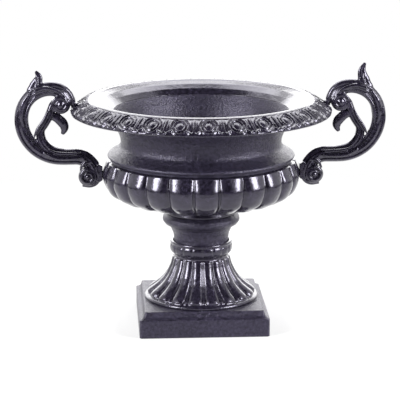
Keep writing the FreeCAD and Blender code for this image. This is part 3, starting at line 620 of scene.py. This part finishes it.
def ridge(distance, width):
    """A soft ridge, 1 on its line."""
    return np.exp(-(distance / width) ** 2)


def egg_relief(side, outline):
    along = lengths(outline)
    foot, top = nearest(outline, BAND_FOOT), nearest(outline, BAND_TOP)
    up = along - foot
    width = math.pi * outline[:, 0] / EGGS
    across = abs(side) * width
    oval = np.hypot(across / OVAL_HALF_WIDTH, (up - OVAL_MIDDLE) / OVAL_HALF_HEIGHT)
    from_dart = width - across
    rise = np.max([
        1.7 * ridge((oval - 1) * OVAL_SCALE, 0.75) * (up < 21.0),              # outer ring
        1.3 * ridge((oval - INNER_OVAL) * OVAL_SCALE, 0.65) * (up < 18.0),     # inner ring
        1.0 * dome(across, up, (0.0, 10.8), (3.0, 4.8), 0.0),                  # egg
        1.7 * ridge(from_dart, 0.7) * within(up, 4.5, 19.5, 1.5),              # dart
        1.1 * ridge(from_dart - 2.5, 0.5) * within(up, 5.0, 19.0, 1.5),        # side rib
        1.8 * dome(from_dart, up, (4.6, 2.6), (1.3, 3.8), -0.75),              # leaf
        1.5 * dome(from_dart, up, (1.1, 2.0), (0.9, 2.4), 0.0),                # bud
        0.5 * ridge(up - (top - foot) + 0.7, 0.7)], axis=0)                    # edge bead
    return rise * ((along >= foot) & (along <= top)) * within(up, 0.6, top - foot - 0.4, 0.7)


rim = ring_casting(
    "rim_casting", rounded(RIM, 0.62), EGGS, 30, egg_relief, SMOOTH_IRON, 0.45, 6.0)
rim.data.materials.append(IRON)
for polygon in rim.data.polygons:
    if math.hypot(polygon.center.x, polygon.center.y) < FLARE_EDGE * MM:
        polygon.material_index = 1

# %% [markdown]
# ## Scroll handles
# Each handle is one iron casting: a foot on the belly, an arm that sweeps out and curls over
# into a head, an inner stem, a beak, a horn, and a spiral volute at each end. It is carved
# like a sculptor would: thick wires of clay along each line, with ribs and leaves laid over
# them, pressed together into one skin. Voxel remesh does the pressing, and two passes of
# smoothing take the tool marks off.

# %% Lines for the handles
WIRE_STEP = 0.8      # mm, from one point of a line to the next


def scroll(start, heading, steps):
    """Points along straight runs (length, 0) and arcs (radius, turn in degrees)."""
    place, way = np.array(start, dtype=float), math.radians(heading)
    points = [place.copy()]
    for size, turn in steps:
        length = size if turn == 0 else size * abs(math.radians(turn))
        parts = max(1, round(length / WIRE_STEP))
        for _ in range(parts):
            way += math.radians(turn) / parts / 2
            chord = length / parts
            place = place + chord * np.array([math.cos(way), math.sin(way)])
            way += math.radians(turn) / parts / 2
            points.append(place.copy())
    return np.array(points)


def curve_through(places):
    """A smooth line through a few places, as even points."""
    places = np.array(places, dtype=float)
    padded = np.vstack([2 * places[0] - places[1], places, 2 * places[-1] - places[-2]])
    points = []
    for index in range(1, len(padded) - 2):
        a, b, c, d = padded[index - 1:index + 3]
        parts = max(2, round(np.linalg.norm(c - b) / WIRE_STEP))
        for share in np.arange(parts) / parts:
            points.append(0.5 * (2 * b + (c - a) * share + (2 * a - 5 * b + 4 * c - d) * share ** 2
                                 + (3 * b - a - 3 * c + d) * share ** 3))
    points.append(padded[-2])
    return np.array(points)


# %% Tubes, balls, discs and spirals of clay
def tube(points, radius, depth=1.0, offset=0.0, grooves=(), sides=28):
    """A closed tube along (x, z) points. radius is one number for each equal share of the
    length, depth scales it across the handle, offset moves it across, and grooves are
    (angle in degrees, depth in mm, width in degrees) on both sides."""
    total = len(points)
    along = np.gradient(points, axis=0)
    along /= np.linalg.norm(along, axis=1)[:, None]
    radii = np.interp(np.linspace(0, 1, total), np.linspace(0, 1, len(radius)), radius)
    verts, faces = [], []
    for index in range(total):
        left = np.array([-along[index, 1], along[index, 0]])
        for step in range(sides):
            turn = 2 * math.pi * step / sides
            reach = radii[index]
            for angle, cut, wide in grooves:
                for mirrored in (angle, -angle):
                    apart = (math.degrees(turn) - mirrored + 180) % 360 - 180
                    reach -= cut * math.exp(-(apart / wide) ** 2)
            side = left * reach * math.cos(turn)
            verts.append((points[index, 0] + side[0], offset + depth * reach * math.sin(turn),
                          points[index, 1] + side[1]))
    for index in range(total - 1):
        for step in range(sides):
            after = (step + 1) % sides
            faces.append((index * sides + step, (index + 1) * sides + step,
                          (index + 1) * sides + after, index * sides + after))
    faces.append(tuple(range(sides)))
    faces.append(tuple((total - 1) * sides + step for step in reversed(range(sides))))
    return verts, faces


def ball(centre, size):
    """A stretched ball, made as a short fat tube."""
    angles = np.linspace(-89, 89, 15)
    points = np.array([(centre[0] + size[0] * math.sin(math.radians(angle)), centre[2])
                       for angle in angles])
    radii = [size[2] * math.cos(math.radians(angle)) for angle in angles]
    return tube(points, radii, depth=size[1] / size[2], offset=centre[1], sides=20)


def spiral(centre, outer, inner, turns, start, hand, face, radius):
    """A ridge that winds inward on one face of a volute."""
    share = np.linspace(0, 1, 70)
    reach = outer + (inner - outer) * share ** 0.85
    turn = np.radians(start + hand * 360 * turns * share)
    points = np.stack([centre[0] + reach * np.cos(turn), centre[1] + reach * np.sin(turn)], axis=1)
    return tube(points, radius, offset=face, sides=10)


DISC_SIDES, DISC_ROUND, DISC_HUB = 48, 1.5, 0.05


def disc(centre, radius, half):
    """A thick round disc with bevelled edges, lying across the handle."""
    verts, faces = [], []
    sides = DISC_SIDES
    section = [
        (DISC_HUB, -half), (radius - DISC_ROUND, -half), (radius, -half + DISC_ROUND),
        (radius, half - DISC_ROUND), (radius - DISC_ROUND, half), (DISC_HUB, half)]
    for reach, depth in section:
        for step in range(sides):
            turn = 2 * math.pi * step / sides
            verts.append((centre[0] + reach * math.cos(turn), depth,
                          centre[1] + reach * math.sin(turn)))
    for row in range(len(section) - 1):
        for step in range(sides):
            after = (step + 1) % sides
            faces.append((row * sides + step, row * sides + after,
                          (row + 1) * sides + after, (row + 1) * sides + step))
    faces.append(tuple(reversed(range(sides))))
    faces.append(tuple((len(section) - 1) * sides + step for step in range(sides)))
    return verts, faces


# %% [markdown]
# The wires follow the handle's measured lines, written as (x, z) places. Ribs and leaves lie
# on both faces, so each is made once for the near face and once for the far one.

# %% One handle's clay
ARM = scroll((121.8, 147.2), 180, [
    (6.0, 0), (7.5, -90), (20.2, -90), (15.5, 0), (38.5, 107), (29.2, 92), (15.1, 70)])
STEM_LINE = scroll((125.0, 176.2), 10, [
    (22.0, 0), (20.5, 81), (9.0, 36), (67.0, -20), (13.0, 46)])
BEAK = [(150.5, 217), (144.6, 214.0), (139.8, 208.2), (139.4, 203.0), (141.4, 198.4)]
HORN_FOOT = [(176.0, 236.0), (171.6, 243.0), (167.2, 249.5)]
HORN_BEND, TIP_ROUND = 251.0, 0.8
LUG = np.array([(128.5, 225.6), (128.5, 231.0)])
LOWER_VOLUTE, UPPER_VOLUTE = (115.8, 154.7), (142.3, 229.7)
VOLUTE_HALF = 6.0        # mm, half a volute's thickness
RIBS = [   # places, radii, distance from the handle's middle plane
    ([(180.5, 208), (182.2, 219), (179.8, 231), (173.4, 241)], [0.6, 2.6, 3.2, 2.0], 5.2),
    ([(177.2, 206), (177.0, 219), (173.6, 229.5), (167, 238)], [0.5, 1.7, 1.8, 0.8], 5.8),
    ([(168.5, 244.0), (159.5, 246.6), (150.5, 245.6), (141.5, 241.2), (136.0, 235.0)],
     [2.4, 2.4, 2.0, 1.8, 1.0], 5.6),
    ([(122, 180.6), (134, 179.6), (147, 180.4), (156, 184.5)], [0.6, 1.6, 1.7, 0.8], 7.0),
    ([(120, 175.2), (134, 174.2), (148, 175.0), (160, 180.5)], [0.6, 1.6, 1.7, 0.8], 7.2),
    ([(111.5, 170.5), (120.0, 168.0), (124.0, 161.5)], [1.2, 1.8, 0.6], 5.4),
    ([(170.0, 196.0), (166.2, 204.5), (160.2, 213.5), (155.6, 223.0)], [0.8, 1.5, 1.4, 0.7], 4.9),
    ([(166.2, 257.5), (166.4, 249.5), (171.0, 242.0)], [0.7, 1.4, 0.7], 2.8)]


def handle_clay(tip):
    """Every lump of one handle whose horn ends at height tip."""
    horn = HORN_FOOT + [(164.2, (HORN_BEND + tip) / 2), (167.2, tip - TIP_ROUND)]
    clay = [
        tube(ARM, [3.8, 7.0, 8.2, 8.4, 7.6, 7.2, 7.2, 7.0, 7.3, 7.4, 5.8], 0.86,
             grooves=((48, 2.0, 9), (112, 2.2, 10), (80, 0.9, 8))),
        tube(STEM_LINE, [3.0, 4.6, 5.0, 5.0, 4.6, 4.6, 4.4, 4.0], 1.05, grooves=((90, 0.9, 16),)),
        tube(curve_through(BEAK), [4.0, 5.2, 5.2, 4.2, 1.6], 0.9),
        tube(curve_through(horn), [2.5, 5.4, 6.2, 4.2, 1.3], 0.62, grooves=((90, 1.6, 16),)),
        tube(LUG, [3.6, 3.6]),
        disc(LOWER_VOLUTE, 9.8, VOLUTE_HALF),
        disc(UPPER_VOLUTE, 9.6, VOLUTE_HALF)]
    for face in (-1, 1):
        clay += [
            spiral(LOWER_VOLUTE, 8.3, 1.6, 1.6, 95, -1, face * VOLUTE_HALF, [1.9, 1.5, 1.2]),
            ball((LOWER_VOLUTE[0], face * 6.2, LOWER_VOLUTE[1]), (2.6, 2.2, 2.6)),
            spiral(UPPER_VOLUTE, 8.2, 1.8, 1.7, 20, 1, face * 6.2, [1.9, 1.6, 1.4]),
            ball((UPPER_VOLUTE[0], face * 6.8, UPPER_VOLUTE[1]), (3.4, 2.4, 3.4))]
        clay += [tube(curve_through(places), radii, offset=face * out)
                 for places, radii, out in RIBS]
    return clay


FOOT_BLOCK = [
    (100.9, 151.0), (104.6, 148.6), (109.5, 150.0), (109.5, 164.0), (105.0, 168.0), (101.0, 165.5)]
FOOT_HALF = 5.0


def foot_block():
    """The block behind the lower volute that the bolt pulls against the belly."""
    verts = [(x, side * FOOT_HALF, z) for side in (-1, 1) for x, z in FOOT_BLOCK]
    count = len(FOOT_BLOCK)
    faces = [tuple(range(count)), tuple(reversed(range(count, 2 * count)))]
    for index in range(count):
        after = (index + 1) % count
        faces.append((index, index + count, after + count, after))
    return verts, faces


# %% [markdown]
# Remeshing at just over half a millimetre keeps the ribs. The left handle is the same
# casting turned about, with a shorter horn, as on the real pair.

# %% Press the clay together
CLAY_GRAIN = 0.55    # mm, the remesh's step
EASE, EASE_PASSES = 0.5, 2
RIGHT_HORN, LEFT_HORN = 270.0, 264.5


def make_handle(name, tip, turned_about):
    verts, faces = [], []
    for part_verts, part_faces in handle_clay(tip) + [foot_block()]:
        start = len(verts)
        verts += part_verts
        faces += [tuple(start + index for index in face) for face in part_faces]
    if turned_about:
        verts = [(-x, -y, z) for x, y, z in verts]
    handle = mesh_object(name, verts, faces)
    press = handle.modifiers.new("press", "REMESH")
    press.mode, press.voxel_size, press.use_smooth_shade = "VOXEL", CLAY_GRAIN * MM, True
    ease = handle.modifiers.new("ease", "SMOOTH")
    ease.factor, ease.iterations = EASE, EASE_PASSES
    ready = handle.evaluated_get(bpy.context.evaluated_depsgraph_get())
    mesh = bpy.data.meshes.new_from_object(ready)
    handle.modifiers.clear()
    handle.data = mesh
    mesh.materials.append(SMOOTH_IRON)
    print(name, "faces:", len(mesh.polygons))
    return handle


handle_right = make_handle("handle_right_casting", RIGHT_HORN, False)
handle_left = make_handle("handle_left_casting", LEFT_HORN, True)

# %% [markdown]
# ## Who stands for what
# Each new casting rides on the urn's one body and hides the plain casting it replaces. The steel
# pieces keep their measured shape and take the zinc finish.

# %% Attach the castings
castings = {
    "plinth": plinth, "socle": socle, "stem": stem, "lower_bowl": bowl, "neck": neck,
    "rim": rim, "handle_right": handle_right, "handle_left": handle_left}
for node, piece in castings.items():
    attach(piece, "root")
    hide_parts(node)

for name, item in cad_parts.items():
    if name not in castings:
        for place in item.material_slots:
            place.material = ZINC
print("kept as measured:", sorted(set(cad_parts) - set(castings)))

# %% [markdown]
# ## Studio
# The urn stands on a white table in front of white. The table and the world look white to
# the camera and in reflections, and the world gives the castings only a little level light,
# because black paint shows best by what it reflects. The table keeps a soft shadow near the
# urn, where less of its white is its own glow.

# %% White table and world
TABLE_REACH = 4000       # mm
SHADOW_NEAR, SHADOW_FAR = 0.15, 0.7      # m, where the glow starts to grow and is full


def seen_rays(tree):
    """1 for camera rays and for rays that glossy or clear surfaces send on, else 0."""
    rays = add_node(tree, "ShaderNodeLightPath").outputs
    seen = add_node(
        tree, "ShaderNodeMath", {0: rays["Is Camera Ray"], 1: rays["Is Glossy Ray"]},
        operation="MAXIMUM")
    return add_node(
        tree, "ShaderNodeMath", {0: seen.outputs[0], 1: rays["Is Transmission Ray"]},
        operation="MAXIMUM").outputs[0]


def white_table():
    material, tree = empty_material("white_table")
    place = add_node(tree, "ShaderNodeTexCoord").outputs["Object"]
    away = add_node(tree, "ShaderNodeVectorMath", {0: place}, operation="LENGTH")
    glow_share = add_node(
        tree, "ShaderNodeMapRange", {"Value": away.outputs["Value"]},
        {"From Min": SHADOW_NEAR, "From Max": SHADOW_FAR, "To Min": 0.6, "To Max": 1.0})
    share = add_node(
        tree, "ShaderNodeMath", {0: seen_rays(tree), 1: glow_share.outputs[0]},
        operation="MULTIPLY")
    lit = add_node(tree, "ShaderNodeBsdfDiffuse", values={"Color": colour("#f4f4f4")})
    glow = add_node(tree, "ShaderNodeEmission", values={"Strength": 1.0})
    both = add_node(
        tree, "ShaderNodeMixShader", {0: share.outputs[0], 1: lit.outputs[0], 2: glow.outputs[0]})
    add_node(tree, "ShaderNodeOutputMaterial", {"Surface": both.outputs[0]})
    return material


floor = mesh_object(
    "table", level(-TABLE_REACH, TABLE_REACH, -TABLE_REACH, TABLE_REACH, 0), [(0, 1, 2, 3)])
floor.data.materials.append(white_table())

world = bpy.data.worlds.new("white_surroundings")
bpy.context.scene.world = world
world.use_nodes = True
world_tree = world.node_tree
world_tree.nodes.clear()
strength = add_node(
    world_tree, "ShaderNodeMapRange", {"Value": seen_rays(world_tree)},
    {"To Min": 0.2, "To Max": 1.0})
light = add_node(world_tree, "ShaderNodeBackground", {"Strength": strength.outputs[0]})
light.inputs["Color"].default_value = (1.0, 1.0, 1.0, 1.0)
add_node(world_tree, "ShaderNodeOutputWorld", {"Surface": light.outputs[0]})
print("table and world:", floor.name, world.name)

# %% [markdown]
# The lamps are big area lights, because a glossy casting shows a lamp as a shape, and a
# large soft shape gives the long clean stripes down the lobes and the reeds. One stands on
# each side in front, one low behind and one high behind, which lights the flare's far side.
# White all round would turn black paint grey, so black cards stand where a studio has its
# dark room: in front, above, and on the floor beyond the table's edges. That edge is the
# crisp line half way up the lobes.

# %% Lamps and black cards
from mathutils import Vector

AIM = Vector((0, 0, 0.15))
DARK = 0.003


def soft_lamp(name, place, size, power):
    lamp = bpy.data.lights.new(name, "AREA")
    lamp.shape, lamp.size, lamp.size_y, lamp.energy = "RECTANGLE", size[0], size[1], power
    item = link(bpy.data.objects.new(name, lamp))
    item.location = place
    item.rotation_euler = (AIM - Vector(place)).to_track_quat("-Z", "Y").to_euler()
    item.visible_camera = False


soft_lamp("left_lamp", (-1.5, -0.9, 0.85), (0.6, 1.1), 42)
soft_lamp("right_lamp", (1.5, -0.9, 0.85), (0.6, 1.1), 42)
soft_lamp("rear_lamp", (0.0, 1.7, 0.62), (3.0, 0.9), 20)
soft_lamp("top_lamp", (0.0, 1.0, 1.65), (2.0, 1.1), 24)


def dark_card(name, corners):
    """A black card that only reflections see."""
    card = mesh_object(name, corners, [(0, 1, 2, 3)])
    material = bpy.data.materials.new(f"{name}_black")
    material.use_nodes = True
    surface = material.node_tree.nodes["Principled BSDF"]
    surface.inputs["Base Color"].default_value = (DARK, DARK, DARK, 1.0)
    surface.inputs["Roughness"].default_value = 1.0
    card.data.materials.append(material)
    card.visible_camera = card.visible_diffuse = card.visible_shadow = False


ROOM_FRONT, ROOM_SIDE, ROOM_BACK, CEILING = -2600, 3000, 900, 3200    # mm
CARD_SIDE = 1700                 # mm, half the width of the upper cards
TABLE_FRONT, TABLE_SIDE = -620, 750
dark_card("front_card", [
    (-CARD_SIDE, ROOM_FRONT, 5), (CARD_SIDE, ROOM_FRONT, 5),
    (CARD_SIDE, ROOM_FRONT, CEILING), (-CARD_SIDE, ROOM_FRONT, CEILING)])
dark_card("top_card", level(-CARD_SIDE, CARD_SIDE, ROOM_FRONT, ROOM_BACK, CEILING))
dark_card("floor_before_table", level(-ROOM_SIDE, ROOM_SIDE, ROOM_FRONT, TABLE_FRONT, 3))
dark_card("floor_left_of_table", level(-ROOM_SIDE, -TABLE_SIDE, TABLE_FRONT, ROOM_BACK, 3))
dark_card("floor_right_of_table", level(TABLE_SIDE, ROOM_SIDE, TABLE_FRONT, ROOM_BACK, 3))

# %% [markdown]
# ## Camera
# The photograph was taken with a long lens from a little under two metres, looking down
# about thirteen degrees and a few degrees to the left of square on.

# %% Camera
DISTANCE, HEIGHT = 1.8553, 0.5697
TURN = math.radians(3.4)
PITCH = math.radians(13.4)
AIM_ASIDE = math.radians(0.035)      # brings the urn to the middle of the picture
camera_data = bpy.data.cameras.new("camera")
camera_data.sensor_width, camera_data.lens = 36.0, 166.65    # mm
camera = link(bpy.data.objects.new("camera", camera_data))
camera.location = (-DISTANCE * math.sin(TURN), -DISTANCE * math.cos(TURN), HEIGHT)
camera.rotation_euler = (math.pi / 2 - PITCH, 0.0, -TURN + AIM_ASIDE)
bpy.context.scene.camera = camera
bpy.context.scene.view_settings.view_transform = "Standard"
print("camera in metres:", [round(value, 3) for value in camera.location])
